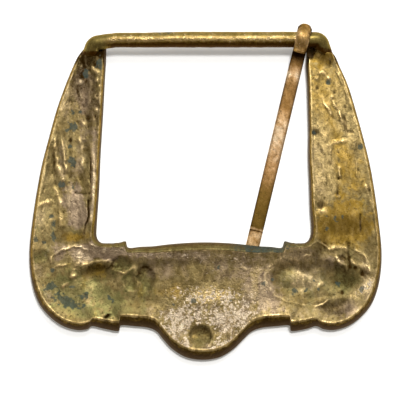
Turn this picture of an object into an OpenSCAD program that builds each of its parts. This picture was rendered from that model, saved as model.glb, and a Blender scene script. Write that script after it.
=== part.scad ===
// Cast brass sash buckle, lying on its front with its back upwards.
// X runs along the bar, +Y points from the wide lower plate to the bar, and +Z is the back.
// The origin is on the surface that the buckle lies on, under the middle of its box.
// The drawing is made from the middle of the bar and moved to the origin at the end.

/* [Frame] */
// Width across the two lower corners
frame_w = 80; // [76:0.5:84]
// Height of the back rim above the surface that the front lies on
rim_z = 4.8; // [4.4:0.1:5.2]
// Height of the widest line of the outer walls
waist_z = 1.9; // [1.7:0.05:2.1]
// Height of the hollowed back inside the rim
tray_z = 4.0; // [3.8:0.05:4.2]
// Height of the plain border on the lower plate's front, which leaves room for the prong's tip
border_z = 1.45; // [1.4:0.05:1.6]
// Height of the same border on the arms' front
arm_border_z = 0.8; // [0.6:0.05:1]
// Height of the raised front panel inside that border
panel_z = 0.45; // [0.3:0.05:0.6]
// Depth of the back hollows as a share of the drawn depth
hollow_share = 1; // [0.6:0.05:1.1]

/* [Bar] */
// Diameter of the bar that the belt and the prong hang on
bar_d = 3.5; // [3.3:0.1:3.6]
// Height of the bar's axis above the surface
bar_z = 5.6; // [5.5:0.1:5.8]

/* [Prong] */
// Width of the prong's strip
prong_w = 3.1; // [2.6:0.1:3.2]
// Thickness of the prong's strip
prong_t = 0.95; // [0.8:0.05:1]
// Inner radius of the loop that turns on the bar
loop_r = 2.45; // [2.4:0.05:2.5]
// Angle at which the loose prong lies across the window
prong_skew = 13.7; // [12:0.1:14]
// Place of the loop's middle along the bar
loop_x = 22.2; // [21.8:0.1:22.3]

/* [Hidden] */

// Every table is drawn for this frame width
drawn_w = 80;
scale_xy = frame_w / drawn_w;

// Half of the U-shaped plate, from the tip of an arm to the middle of the lower plate, a row for each
// section. Columns: outer x, outer y, inner x, inner y, outer bevel, inner bevel, and how far the outer
// and the inner edge shift to the left
OUT_X = 0;
OUT_Y = 1;
IN_X = 2;
IN_Y = 3;
OUT_BEVEL = 4;
IN_BEVEL = 5;
OUT_SHIFT = 6;
IN_SHIFT = 7;
SECTIONS = [
    [27.8, -0.8, 23.1, -0.8, 0.7, 0.4, -0.3, -0.2],
    [29.0, -3.0, 23.1, -2.9, 0.7, 0.4, -0.4, -0.2],
    [30.8, -5.8, 23.1, -5.6, 0.8, 0.4, -0.35, -0.1],
    [32.55, -10.1, 23.3, -9.7, 0.8, 0.4, -0.2, -0.1],
    [34.4, -15.8, 23.45, -14.7, 0.8, 0.4, -0.15, -0.05],
    [36.0, -22.0, 23.65, -20.6, 0.8, 0.4, -0.15, 0.05],
    [37.55, -28.6, 23.75, -26.5, 0.8, 0.4, -0.1, 0.25],
    [38.65, -35.4, 23.95, -32.9, 0.8, 0.5, -0.05, 0.25],
    [39.45, -41.8, 24.15, -38.4, 0.9, 0.6, 0.0, 0.35],
    [39.95, -47.5, 24.4, -42.7, 1.0, 0.8, 0.0, 0.35],
    [39.8, -52.1, 24.3, -44.7, 1.1, 0.9, 0.0, 0.45],
    [39.0, -56.5, 23.8, -45.8, 1.2, 1.0, 0.0, 0.5],
    [37.55, -60.15, 23.1, -46.3, 1.3, 1.1, 0.0, 0.5],
    [35.2, -63.0, 22.3, -46.4, 1.3, 1.2, 0.0, 0.45],
    [32.4, -65.05, 21.5, -46.4, 1.3, 1.2, 0.0, 0.4],
    [29.2, -66.05, 20.7, -46.4, 1.4, 1.2, 0.0, 0.3],
    [26.7, -65.9, 20.2, -46.3, 1.5, 1.2, 0.0, 0.2],
    [25.2, -65.2, 19.8, -46.3, 1.6, 1.2, 0.3, 0.1],
    [22.8, -65.8, 19.2, -46.2, 1.8, 1.3, 0.0, 0.1],
    [19.5, -66.3, 18.0, -46.0, 1.9, 1.3, 0.1, 0.1],
    [19.0, -65.05, 17.4, -47.4, 2.0, 1.2, 0.1, 0.1],
    [16.0, -65.2, 14.6, -47.2, 2.1, 1.4, 0.0, 0.0],
    [12.8, -65.55, 12.1, -47.1, 2.2, 1.6, 0.1, 0.0],
    [10.7, -66.4, 10.3, -46.9, 2.2, 1.7, 0.3, 0.0],
    [9.1, -68.05, 8.7, -46.7, 2.1, 1.8, 0.5, 0.0],
    [6.9, -70.3, 6.6, -46.5, 2.0, 1.8, 0.6, 0.0],
    [3.8, -72.15, 3.7, -46.3, 1.9, 1.8, 0.6, 0.0],
    [0.0, -72.75, 0.0, -46.2, 1.9, 1.8, 0.6, 0.0]
];
// Sections made from each row by the curve through them
STEPS = 2;

// Hollows in the back, which stand out as bosses on the front, a row for each.
// Columns: x, y, half length, half width, turn, depth
HOLLOWS = [
    [-23.1, -54.6, 5.6, 4.2, -8, 1.2],
    [-19.3, -51.2, 2.2, 2.2, 0, 0.5],
    [-13.6, -54.1, 2.2, 3.4, 0, 0.6],
    [-31.3, -58.5, 5.5, 3.8, -30, 0.5],
    [19.7, -55.0, 7.0, 4.8, -5, 1.2],
    [29.1, -55.5, 4.8, 4.6, 0, 0.8],
    [29.7, -60.7, 4.6, 1.9, 15, 0.4],
    [-1.9, -67.8, 3.1, 3.1, 0, 1.0]
];
// Raised bosses on the front over the groups of hollows, with the same columns and their height
BOSSES = [
    [-21.5, -54.5, 12.5, 8.0, -4, 0.8],
    [22.5, -55.0, 12.5, 8.0, 4, 0.8],
    [-1.2, -66.5, 7.5, 5.5, 0, 1.1]
];
F_X = 0;
F_Y = 1;
F_LONG = 2;
F_WIDE = 3;
F_TURN = 4;
F_DEPTH = 5;

// Points across one section: the wall on each side, and the back and front between them
BACK_POINTS = 9;
FRONT_POINTS = 9;
// Inner foot of the rim, inside its crest
rim_foot = 0.9;
// Inset of the front face's edge from the widest line
front_inset = 0.5;
// The arms' tips are plain and lower: where that begins and ends below the bar's axis, and the back's
// height there
tip_end = 0.9;
tip_start = 5;
tip_z_back = 3.5;
// Share of the section's width that the front border takes, and where the panel is at its full height
border_share = 0.2;
panel_share = 0.34;
// The arms' front has a ridge that stands this far out of the panel, down to this distance from the bar
ridge_rise = 0.6;
ridge_from = -46;

bar_r = bar_d / 2;
loop_outer_r = loop_r + prong_t;
// The loop hangs a little towards +Y on the bar
loop_lift = 0.15;
// Angle above the horizontal at which the loop's end is cut
loop_end = 25;
// Side view of the prong's blade. Columns: distance from the loop's middle, height of its middle line
blade_mid_z = bar_z - loop_r - prong_t / 2;
tip_z = 0.1 + prong_t / 2;
BLADE = [
    [0.0, blade_mid_z],
    [3.0, blade_mid_z],
    [8.0, blade_mid_z - 0.35],
    [20.0, blade_mid_z - 0.75],
    [34.0, blade_mid_z - 1.35],
    [44.6, tip_z + 0.02],
    [46.0, tip_z],
    [51.0, tip_z]
];

// The bar's bent ends, the left one in a wider curve: where the bend starts, its radius, and the length
// of the leg that sinks into the arm
right_bend_x = 24.75 * scale_xy;
right_bend_r = 1.85;
right_leg = 4.4;
left_bend_x = 21.5 * scale_xy;
left_bend_r = 5;
left_leg = 2.4;
// Direction of both legs
leg_heading = 68;
leg_pitch = 28;
// The bend lies in one slanting plane
bend_turn = acos(cos(leg_pitch) * cos(leg_heading));
bend_tilt = atan2(sin(leg_pitch), cos(leg_pitch) * sin(leg_heading));
// Room cut beside the right arm's tip for the turning loop
loop_room_r = 3.9;
loop_room_x = 24.65 * scale_xy;

// Distance from the bar's axis to the far edges, which set the origin
top_y = loop_lift + loop_outer_r * cos(prong_skew) + prong_w / 2 * sin(prong_skew);
bottom_y = -SECTIONS[len(SECTIONS) - 1][OUT_Y] * scale_xy;
bar_y = (bottom_y - top_y) / 2;

function between(a, b, t) = a + (b - a) * t;
function clamp01(t) = min(1, max(0, t));
function smooth(t) = let (c = clamp01(t)) c * c * (3 - 2 * c);
function on_curve(a, b, c, d, t) =
    0.5 * (2 * b + (c - a) * t + (2 * a - 5 * b + 4 * c - d) * t * t + (3 * b - a - 3 * c + d) * t * t * t);

// The row past the middle is the mirror image of the row before it
last = len(SECTIONS) - 1;
function flipped(row) = [for (i = [0:len(row) - 1]) i == OUT_X || i == IN_X ? -row[i] : row[i]];
function row_at(i) = i < 0 ? SECTIONS[0] : i > last ? flipped(SECTIONS[2 * last - i]) : SECTIONS[i];
function half_rows() = [
    for (i = [0:last - 1], step = [0:STEPS - 1])
        on_curve(row_at(i - 1), row_at(i), row_at(i + 1), row_at(i + 2), step / STEPS)
];

// One side of the plate: +1 is the right side and -1 the left
function side_rows(side) = [
    for (row = half_rows())
        [
            (side * row[OUT_X] - row[OUT_SHIFT]) * scale_xy, row[OUT_Y] * scale_xy,
            (side * row[IN_X] - row[IN_SHIFT]) * scale_xy, row[IN_Y] * scale_xy,
            row[OUT_BEVEL], row[IN_BEVEL]
        ]
];
function middle_row() =
    let (row = SECTIONS[last])
        [-row[OUT_SHIFT] * scale_xy, row[OUT_Y] * scale_xy, 0, row[IN_Y] * scale_xy,
         row[OUT_BEVEL], row[IN_BEVEL]];
function reversed(rows) = [for (i = [len(rows) - 1:-1:0]) rows[i]];
function all_rows() = concat(side_rows(-1), [middle_row()], reversed(side_rows(1)));

// 1 in the middle of a feature, falling smoothly to 0 at its edge
function feature(f, x, y) =
    let (
        dx = x - f[F_X] * scale_xy,
        dy = y - f[F_Y] * scale_xy,
        along = (dx * cos(f[F_TURN]) + dy * sin(f[F_TURN])) / f[F_LONG],
        across = (dy * cos(f[F_TURN]) - dx * sin(f[F_TURN])) / f[F_WIDE]
    )
        smooth(1.25 * (1 - sqrt(along * along + across * across)));
function total(features, x, y) =
    let (parts = [for (f = features) f[F_DEPTH] * feature(f, x, y)])
        parts * [for (f = features) 1];

// 0 at the arms' tips and 1 all over the rest of the plate
function past_tip(y) = smooth((-y - tip_end) / (tip_start - tip_end));
function back_height(x, y) =
    between(tip_z_back, tray_z - hollow_share * total(HOLLOWS, x, y), past_tip(y));
// The border is higher on the lower plate than on the arms
function border_height(y) = between(arm_border_z, border_z, smooth((ridge_from + 10 - y) / 8));
// The panel lies lower than the border, and its bosses and ridges come down to the surface
function front_height(x, y, t) =
    let (
        side = min(t, 1 - t),
        border = border_height(y),
        panel = smooth((side - border_share) / (panel_share - border_share)),
        ridge = ridge_rise * smooth((side - 0.3) / 0.1) * smooth((y - ridge_from) / 6),
        rise = (border - panel_z) * panel + ridge + smooth((side - 0.06) / 0.1) * total(BOSSES, x, y)
    )
        max(0, border - rise * past_tip(y));

// One section as a loop of points: up the outer wall, over the back, down the inner wall and back along
// the front
function section(row) =
    let (
        o = [row[0], row[1]],
        n = [row[2], row[3]],
        width = norm(n - o),
        step = (n - o) / width,
        ob = row[4],
        ib = row[5],
        back_from = ob + rim_foot,
        back_to = width - ib - rim_foot,
        crest = between(tip_z_back, rim_z, past_tip(row[1])),
        shoulder = between(waist_z, crest, 0.5),
        outer = [
            [front_inset, border_height(row[1])],
            [0, waist_z],
            [0.3 * ob, shoulder],
            [0.75 * ob, crest - 0.25],
            [ob + 0.15, crest]
        ],
        inner = [
            [ib + 0.15, crest],
            [0.75 * ib, crest - 0.25],
            [0.3 * ib, shoulder],
            [0, waist_z],
            [front_inset, border_height(row[3])]
        ]
    )
        concat(
            [for (p = outer) [o.x + step.x * p[0], o.y + step.y * p[0], p[1]]],
            [
                for (i = [0:BACK_POINTS - 1])
                    let (q = o + step * between(back_from, back_to, i / (BACK_POINTS - 1)))
                        [q.x, q.y, min(crest, back_height(q.x, q.y))]
            ],
            [for (p = inner) [n.x - step.x * p[0], n.y - step.y * p[0], p[1]]],
            [
                for (i = [FRONT_POINTS:-1:1])
                    let (
                        t = i / (FRONT_POINTS + 1),
                        q = o + step * between(front_inset, width - front_inset, t)
                    )
                        [q.x, q.y, front_height(q.x, q.y, t)]
            ]
        );

module plate() {
    rows = all_rows();
    loops = [for (row = rows) section(row)];
    around = len(loops[0]);
    count = len(loops);
    points = [for (one = loops, p = one) p];
    walls = [
        for (i = [0:count - 2], k = [0:around - 1], half = [0, 1])
            let (
                here = i * around,
                next = here + around,
                k2 = (k + 1) % around
            )
                half == 0 ? [here + k, next + k2, next + k] : [here + k, here + k2, next + k2]
    ];
    // The caps start at the widest line, which is in line with no two of their other points
    first_cap = [for (k = [around:-1:1]) (k + 1) % around];
    last_cap = [for (k = [0:around - 1]) (count - 1) * around + (k + 1) % around];
    polyhedron(points, concat(walls, [first_cap, last_cap]), convexity = 10);
}

module along_x(x0, x1, r) {
    translate([x0, 0, 0])
        rotate([0, 90, 0])
            cylinder(r = r, h = x1 - x0, $fn = 64);
}

// A bent end of the bar: the bend and a straight leg that sinks into the arm
module bar_end(start_x, bend_r, leg) {
    rotate([bend_tilt, 0, 0])
        translate([start_x, -bend_r, 0])
            rotate([0, 0, 90 - bend_turn]) {
                rotate_extrude(angle = bend_turn, $fn = 64)
                    translate([bend_r, 0])
                        circle(r = bar_r, $fn = 48);
                translate([bend_r, 0, 0])
                    rotate([90, 0, 0])
                        cylinder(r = bar_r, h = leg, $fn = 48);
            }
}

module bar() {
    translate([0, 0, bar_z]) {
        along_x(-left_bend_x, right_bend_x, bar_r);
        bar_end(right_bend_x, right_bend_r, right_leg);
        mirror([1, 0, 0]) bar_end(left_bend_x, left_bend_r, left_leg);
    }
}

module buckle_frame() {
    color("darkgoldenrod")
        translate([0, bar_y, 0])
            union() {
                difference() {
                    plate();
                    translate([0, 0, bar_z]) along_x(0, loop_room_x, loop_room_r);
                }
                bar();
            }
}

// The strip curled round the bar, from under it, over the top and down to its cut end
module prong_loop() {
    translate([0, 0, bar_z])
        rotate([90, 0, 90])
            translate([0, 0, -prong_w / 2])
                rotate([0, 0, -90])
                    rotate_extrude(angle = 270 - loop_end, $fn = 64)
                        translate([loop_r, 0])
                            square([prong_t, prong_w]);
}

module prong_blade() {
    under = [for (p = BLADE) [-p[0], p[1] - prong_t / 2]];
    over = [for (i = [len(BLADE) - 1:-1:0]) [-BLADE[i][0], BLADE[i][1] + prong_t / 2]];
    reach = BLADE[len(BLADE) - 1][0];
    intersection() {
        rotate([90, 0, 90])
            translate([0, 0, -prong_w / 2])
                linear_extrude(prong_w) polygon(concat(under, over));
        union() {
            translate([-prong_w, -reach + prong_w / 2, 0])
                cube([2 * prong_w, reach, bar_z]);
            translate([0, -reach + prong_w / 2, 0])
                cylinder(r = prong_w / 2, h = bar_z, $fn = 48);
        }
    }
}

module prong() {
    color("peru")
        translate([loop_x * scale_xy, bar_y + loop_lift, 0])
            rotate([0, 0, -prong_skew]) {
                prong_loop();
                prong_blade();
            }
}

buckle_frame();
prong();
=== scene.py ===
"""The visible casting and prong of the sash buckle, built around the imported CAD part.

Lengths are in millimetres in the drawing frame of the CAD part, whose Y=0 is the bar's axis,
and are moved and turned into metres when a mesh is made.
"""

import math

import bpy
import numpy as np
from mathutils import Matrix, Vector, kdtree


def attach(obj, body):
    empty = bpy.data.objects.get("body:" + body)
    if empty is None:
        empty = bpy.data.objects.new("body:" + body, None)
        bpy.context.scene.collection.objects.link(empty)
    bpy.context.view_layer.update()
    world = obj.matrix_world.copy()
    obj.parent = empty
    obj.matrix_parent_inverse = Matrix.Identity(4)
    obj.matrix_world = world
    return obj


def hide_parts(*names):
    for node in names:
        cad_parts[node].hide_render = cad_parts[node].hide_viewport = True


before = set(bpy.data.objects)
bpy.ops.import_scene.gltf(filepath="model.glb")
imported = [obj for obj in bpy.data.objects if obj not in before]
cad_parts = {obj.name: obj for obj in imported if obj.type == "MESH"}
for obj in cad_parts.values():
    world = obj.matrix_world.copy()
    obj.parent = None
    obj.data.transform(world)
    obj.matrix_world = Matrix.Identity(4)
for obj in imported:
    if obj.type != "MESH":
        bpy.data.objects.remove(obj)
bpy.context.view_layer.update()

MM = 0.001

# Sizes of the drawing, the same as in the CAD part. A name in Z is a height over the floor
BAR_R = 1.75
BAR_Z = 5.6
RIM_Z = 4.8
WAIST_Z = 1.9
TRAY_Z = 4.0
BORDER_Z = 1.45
ARM_BORDER_Z = 0.8
PANEL_Z = 0.45
FRONT_INSET = 0.5
RIDGE_RISE = 0.6
RIDGE_FROM = -46
TIP_Z = 3.5
TIP_END = 0.9
TIP_START = 5.0
LOOP_R = 2.45
PRONG_T = 0.95
PRONG_W = 3.1
PRONG_SKEW = math.radians(13.7)
LOOP_X = 22.2
LOOP_LIFT = 0.15
TOP_Y = LOOP_LIFT + (LOOP_R + PRONG_T) * math.cos(PRONG_SKEW) + PRONG_W / 2 * math.sin(PRONG_SKEW)
BOTTOM_Y = 72.75
BAR_Y = (BOTTOM_Y - TOP_Y) / 2
LEG_HEADING = math.radians(68)
LEG_PITCH = math.radians(28)

# The back of the right arm lies this much higher than the rest
RIGHT_ARM_RISE = 0.77
# The rim is this much wider than its bevel
CREST_W = 0.15
# Where the arms pass into the lower plate
ARM_FOOT_Y = -45
# Room beside the right arm's tip for the turning loop, a little wider than the CAD part's
LOOP_ROOM_X = 24.7
LOOP_ROOM_R = 3.95

# Half of the plate, from the tip of an arm to the middle of the lower plate. The outer edge of the first
# four sections lies up to 0.8 further out than in the CAD part.
# Columns: outer x, outer y, inner x, inner y, outer bevel, inner bevel, outer shift, inner shift
SECTIONS = np.array([
    [27.9, -0.8, 23.1, -0.8, 0.7, 0.4, -0.2, -0.2], [29.65, -3, 23.1, -2.9, 0.7, 0.4, -0.28, -0.2],
    [30.88, -5.8, 23.1, -5.6, 0.8, 0.4, -0.22, -0.1], [32.62, -10.1, 23.3, -9.7, 0.8, 0.4, -0.28, -0.1],
    [34.4, -15.8, 23.45, -14.7, 0.8, 0.4, -0.15, -0.05], [36, -22, 23.65, -20.6, 0.8, 0.4, -0.15, 0.05],
    [37.55, -28.6, 23.75, -26.5, 0.8, 0.4, -0.1, 0.25], [38.65, -35.4, 23.95, -32.9, 0.8, 0.5, -0.05, 0.25],
    [39.45, -41.8, 24.15, -38.4, 0.9, 0.6, 0, 0.35], [39.95, -47.5, 24.4, -42.7, 1, 0.8, 0, 0.35],
    [39.8, -52.1, 24.3, -44.7, 1.1, 0.9, 0, 0.45], [39, -56.5, 23.8, -45.8, 1.2, 1, 0, 0.5],
    [37.55, -60.15, 23.1, -46.3, 1.3, 1.1, 0, 0.5], [35.2, -63, 22.3, -46.4, 1.3, 1.2, 0, 0.45],
    [32.4, -65.05, 21.5, -46.4, 1.3, 1.2, 0, 0.4], [29.2, -66.05, 20.7, -46.4, 1.4, 1.2, 0, 0.3],
    [26.7, -65.9, 20.2, -46.3, 1.5, 1.2, 0, 0.2], [25.2, -65.2, 19.8, -46.3, 1.6, 1.2, 0.3, 0.1],
    [22.8, -65.8, 19.2, -46.2, 1.8, 1.3, 0, 0.1], [19.5, -66.3, 18, -46, 1.9, 1.3, 0.1, 0.1],
    [19, -65.05, 17.4, -47.4, 2, 1.2, 0.1, 0.1], [16, -65.2, 14.6, -47.2, 2.1, 1.4, 0, 0],
    [12.8, -65.55, 12.1, -47.1, 2.2, 1.6, 0.1, 0], [10.7, -66.4, 10.3, -46.9, 2.2, 1.7, 0.3, 0],
    [9.1, -68.05, 8.7, -46.7, 2.1, 1.8, 0.5, 0], [6.9, -70.3, 6.6, -46.5, 2, 1.8, 0.6, 0],
    [3.8, -72.15, 3.7, -46.3, 1.9, 1.8, 0.6, 0], [0, -72.75, 0, -46.2, 1.9, 1.8, 0.6, 0],
])
OUT_X, OUT_Y, IN_X, IN_Y, OUT_BEVEL, IN_BEVEL, OUT_SHIFT, IN_SHIFT = range(8)
# Largest step between sections along the plate's edges, and the least number of steps in a row
ALONG = 0.34
LEAST_STEPS = 4
# Points across the casting's back and front, and steps between two knots of a wall
BACK_POINTS = 84
FRONT_POINTS = 26
WALL_STEPS = 4

# Hollows in the back, and domes where the depth is below 0.
# Columns: x, y, half length, half width, turn, depth, share of the radius that the edge takes
HOLLOWS = [
    (-24.6, -56.2, 7.4, 5.8, -8, 0.5, 1), (-23.9, -54, 4.6, 3, -6, 0.5, 0.6),
    (-19.2, -51.3, 2.3, 1.9, 0, 0.4, 0.35), (-17, -55.3, 1.5, 2.6, 8, 0.35, 0.55),
    (-13.6, -54.8, 2.3, 3.7, 0, 0.6, 0.55), (-31.3, -58.5, 5.5, 3.8, -30, 0.35, 0.8),
    (24.3, -55.5, 11.2, 5.5, -3, 0.5, 0.4), (19.7, -54.6, 6.6, 4.2, -5, 0.25, 0.5),
    (18.9, -54.6, 3.6, 2.6, 0, -0.25, 0.8), (23.3, -55, 1.8, 2.2, 0, -0.25, 0.9),
    (29.8, -54.6, 5, 3.6, -5, 0.28, 0.6), (29.7, -60.9, 4.4, 1.9, 12, 0.4, 0.6),
    (-1, -67.7, 2.7, 2.8, 0, 0.42, 0.25), (-37.1, -49.7, 1.9, 1.5, 0, 0.2, 0.5),
]
# Bosses on the front, with the same columns
BOSSES = [
    (-21.5, -54.5, 12.5, 8, -4, 0.8, 0.8), (22.5, -55, 12.5, 8, 4, 0.8, 0.8),
    (-1.2, -66.5, 7.5, 5.5, 0, 1.1, 0.8),
]
# Small marks on the back. Columns: x, y, radius, height (below 0 for a pit), grime (below 0
# for worn), verdigris where there is some
MARKS = [
    (28, -9.8, 0.46, -0.25, 0.3, 1), (25.5, -11.1, 0.3, -0.3, 0.6), (23.8, -15.9, 0.27, -0.3, 1),
    (24.6, -21.4, 0.55, -0.6, 1, 0.8), (31.9, -15.6, 0.25, -0.2, 0.3), (29.1, -13.7, 0.23, -0.2, 0.4),
    (29.5, -12.3, 0.27, -0.2, 0.5, 0.5), (29, -17.9, 0.21, -0.15, 0.3, 0.3), (29.9, -16.1, 0.23, -0.2, 0.8),
    (35.3, -24.7, 0.55, -0.05, 0.3, 1), (30.3, -23.6, 0.23, -0.2, 1), (30.2, -26.1, 0.23, -0.15, 0.8),
    (26.4, -25.9, 0.23, -0.15, 0.8), (30.2, -32, 0.25, -0.4, 0.9), (30.1, -36, 0.27, 0.3, -1),
    (26.1, -38.2, 0.64, -0.45, 0.3), (26.2, -39.3, 0.59, 0.3, -0.3), (37.1, -34.6, 0.34, -0.2, 0.7),
    (34.8, -30.1, 0.23, -0.15, 0.3), (-28.5, -5.9, 0.36, 0.3, -1), (-24.9, -9.2, 0.41, 0.4, -1),
    (-24.3, -10.7, 0.3, 0.3, -1), (-24.8, -13, 0.59, 0.35, -0.8), (-24.8, -13, 0.27, -0.5, 1),
    (-24.9, -16.1, 0.36, 0.3, -0.8), (-28.5, -9.5, 0.46, 0.3, -0.8), (-32.7, -13.5, 0.36, 0.25, -0.8),
    (-27.8, -19.3, 0.57, 0.25, -0.6), (-28.5, -29.6, 0.27, 0.2, -0.8), (-27.8, -22.7, 0.34, 0.25, -0.8),
    (-30.8, -23, 0.3, -0.25, 1), (-30.8, -14, 0.34, -0.2, 0.6), (-34.8, -40.6, 0.3, -0.2, 0.8),
    (-35.6, -37.5, 0.3, 0.2, -0.7), (-36.8, -43.6, 0.23, -0.2, 0.6), (30.8, -49.9, 0.55, -0.3, 0.5),
    (31.7, -48, 0.32, 0.3, -1), (29.6, -50, 0.27, 0.3, -1), (35.8, -53.4, 0.59, -0.4, 0.9),
    (37.8, -54.3, 0.3, -0.2, 0.8), (33.7, -52.2, 0.3, -0.25, 0.7), (-14.9, -55.5, 0.32, 0.2, -0.9),
    (-28.4, -49.5, 0.18, -0.2, 0.8), (-27.8, -50.7, 0.18, -0.2, 0.8), (-28.3, -51.4, 0.21, -0.2, 0.8),
    (-29.3, -52.4, 0.21, -0.2, 0.8), (-29.6, -54.2, 0.5, 0.3, -1), (30.7, -57.8, 0.34, -0.15, 0.6),
    (30.3, -57, 0.3, 0.12, -0.4), (18.9, -33.6, 0.21, -0.1, 0.4),
]
# Ridges and grooves on the back. Columns: half width, height (below 0 for a groove), worn
# (below 0 for grime), and then x and y of each point in turn
LINES = [
    (0.3, 0.24, 0.4, 25.4, -9, 26.1, -7.9, 26.8, -7.2, 27.5, -8, 28.3, -8.9),
    (0.21, -0.2, -0.5, 24.3, -9.1, 25.2, -8.3, 26.1, -8.3),
    (0.27, 0.25, 0.7, 26.7, -13.4, 27.2, -14.7, 28.6, -16.8),
    (0.25, 0.22, 0.6, 28.7, -13.2, 29.4, -14.9, 30.2, -16.1, 30.8, -17.7, 31.1, -19),
    (0.23, 0.2, 0.5, 27.7, -24.5, 29.9, -23.7, 31.9, -23.2), (0.25, 0.2, 0.6, 28.3, -24.8, 28.4, -28.1),
    (0.27, 0.25, 0.7, 30.2, -29.5, 30.5, -31.5), (0.23, 0.15, 0.3, 33.8, -23.2, 34.2, -27.3, 34.4, -31.5),
    (0.25, 0.18, 0.3, 30.2, -7.2, 31.9, -11, 33, -14.9, 34.1, -19.3),
    (0.36, 0.2, 0.7, 36.3, -33.7, 37.4, -37, 38.2, -38.9),
    (0.21, -0.18, -0.4, 28.5, -4.3, 28.6, -5.1, 28.3, -6.3),
    (0.21, -0.28, -0.7, 31.7, -17.9, 31.7, -19.7, 32.2, -21.1, 33.6, -21.5),
    (0.21, -0.2, -0.6, 30, -33.4, 29.8, -35.7), (0.18, -0.12, -0.6, 34.9, -40.2, 35, -43.9),
    (0.36, 0.35, 0.7, -34.3, -23.1, -33.6, -28.6, -32.6, -32.2),
    (0.3, 0.28, 0.6, -32.5, -23.5, -32.1, -27, -31.6, -30),
    (0.36, 0.28, 0.6, -34, -34.2, -33, -37.3, -32.7, -42.5),
    (0.5, 0.25, 0.5, -36.4, -26.8, -37.1, -31.6, -38, -36.4),
    (0.41, 0.25, 0.5, -25.9, -24, -25.7, -27, -25.4, -30.2, -25.3, -36.6, -25.9, -41.6),
    (0.3, 0.3, 0.8, -25.9, -6.2, -25, -7.5), (0.27, 0.2, 0.6, -37.6, -37.9, -35.4, -37.5),
    (0.68, 0.2, 0.5, -31.5, -35, -30.8, -37.9), (0.3, 0.15, 0.3, -28.8, -22.9, -27.9, -26.6, -28.1, -28.8),
    (0.18, -0.35, -1, -26.1, -27.3, -26.1, -31.6, -26, -35.2),
    (0.21, -0.22, -0.5, -26.1, -35.3, -27.7, -35.4, -29.5, -35.1),
    (0.18, -0.35, -1, -26.6, -37, -26.4, -40.7, -27.2, -42.6, -27.5, -44.5),
    (0.27, -0.15, -0.2, -34.5, -25.2, -34.4, -29.3, -33.8, -33.4),
    (0.25, 0.28, 0.7, -34.8, -50.9, -34.8, -49.6, -33.8, -48.9, -32.5, -48.2, -30.9, -47.6, -29.5, -47.4,
     -28.1, -47.7, -26.8, -48.2), (0.23, 0.25, 0.6, -25.9, -47.1, -24.5, -47.5, -23.6, -47.4),
    (0.23, 0.22, 0.5, -22.9, -48.7, -22.7, -47.7, -22, -47.5, -20.6, -47.4, -19, -47.7),
    (0.25, 0.22, 0.6, -27.9, -51.4, -26.3, -51.4, -25.4, -50.9, -23.6, -50.7, -21.8, -50.8),
    # This row and the next two are shallow grooves with painted shade along the upper edges of three
    # hollows on the left
    (1.03, -0.08, -0.35, -27.7, -53.4, -26.1, -52.5, -24, -52.1, -21.8, -51.6),
    (0.41, -0.06, -0.2, -21, -52.1, -20.9, -50.6, -19.3, -49.9, -17.8, -50.5),
    (0.41, -0.06, -0.2, -15.2, -54.1, -14.9, -52.6, -13.6, -51.9, -12.2, -52.5),
    (0.23, 0.22, 0.6, -34.3, -52.3, -33.2, -51.7, -31.6, -51.5),
    (0.23, 0.3, 0.9, -31.1, -55.7, -32.1, -56.5),
    (0.46, 0.22, 0.7, -28.6, -49.3, -28.4, -50.5, -29.1, -51.6, -29.7, -52.8, -30, -54.1),
    (0.18, -1.3, -2.5, -23.1, -64.2, -21.9, -62.9),
    (0.27, 0.2, 0.4, -21.3, -50.9, -19.3, -53.1, -18.3, -53.6, -16.3, -52),
    (0.25, 0.15, 0.3, -15.8, -52.3, -14.7, -55.3, -14.4, -56.6),
    (0.23, 0.15, 0.5, 1, -65.4, 1.6, -67.7, 0.8, -69.6),
    (0.25, 0.08, 0.3, 13.4, -55.7, 13.4, -53.9, 14.2, -52.1, 16.1, -50.7, 18.6, -50.1, 20.4, -50.7),
    (0.27, 0.08, 0.3, 13.6, -55.7, 15.2, -58, 18.1, -59.6, 22.2, -60.6, 26.1, -60.5, 30, -59.8),
    (0.25, 0.2, 0.5, 22.2, -50, 23.7, -49.3, 24.3, -50.7),
    (0.21, 0.22, 0.6, 23.4, -47.1, 25, -46.3, 26.3, -46.6, 27.5, -47.5, 28, -48.1),
    (0.34, 0.2, 0.6, 28, -48.1, 29.1, -47.5, 30.7, -47.6, 31.7, -48),
    (0.27, 0.28, 0.7, 29.5, -49.9, 30, -50.6, 30.7, -51.3, 31.7, -51.5, 31.8, -52.8),
    (0.3, 0.28, 0.7, 32.8, -50.7, 33.6, -51.4, 34.8, -51.8, 36.4, -52.1, 36.7, -53),
    (0.21, 0.18, 0.4, 33.8, -48.2, 35.2, -48.9, 36.1, -49.8, 36.4, -51.2),
    (0.32, -0.1, -0.15, 32.4, -46.6, 32.2, -49.1, 32.6, -52.1),
    (0.18, 0.14, 0.8, 24.7, -60.8, 26.1, -60.4, 27.5, -59.4), (0.18, 0.12, 0.9, 7.9, -52.1, 9.2, -52.6),
    (0.23, 0.1, 0.2, 31.9, -54.8, 33.4, -52.1),
    (0.25, -0.05, -0.7, 3.8, -46.7, 9, -46.9, 12.9, -47.3, 16.5, -47.6),
    (0.23, 0.1, 0.2, 25.2, -56.6, 26.6, -55.3),
]
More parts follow.
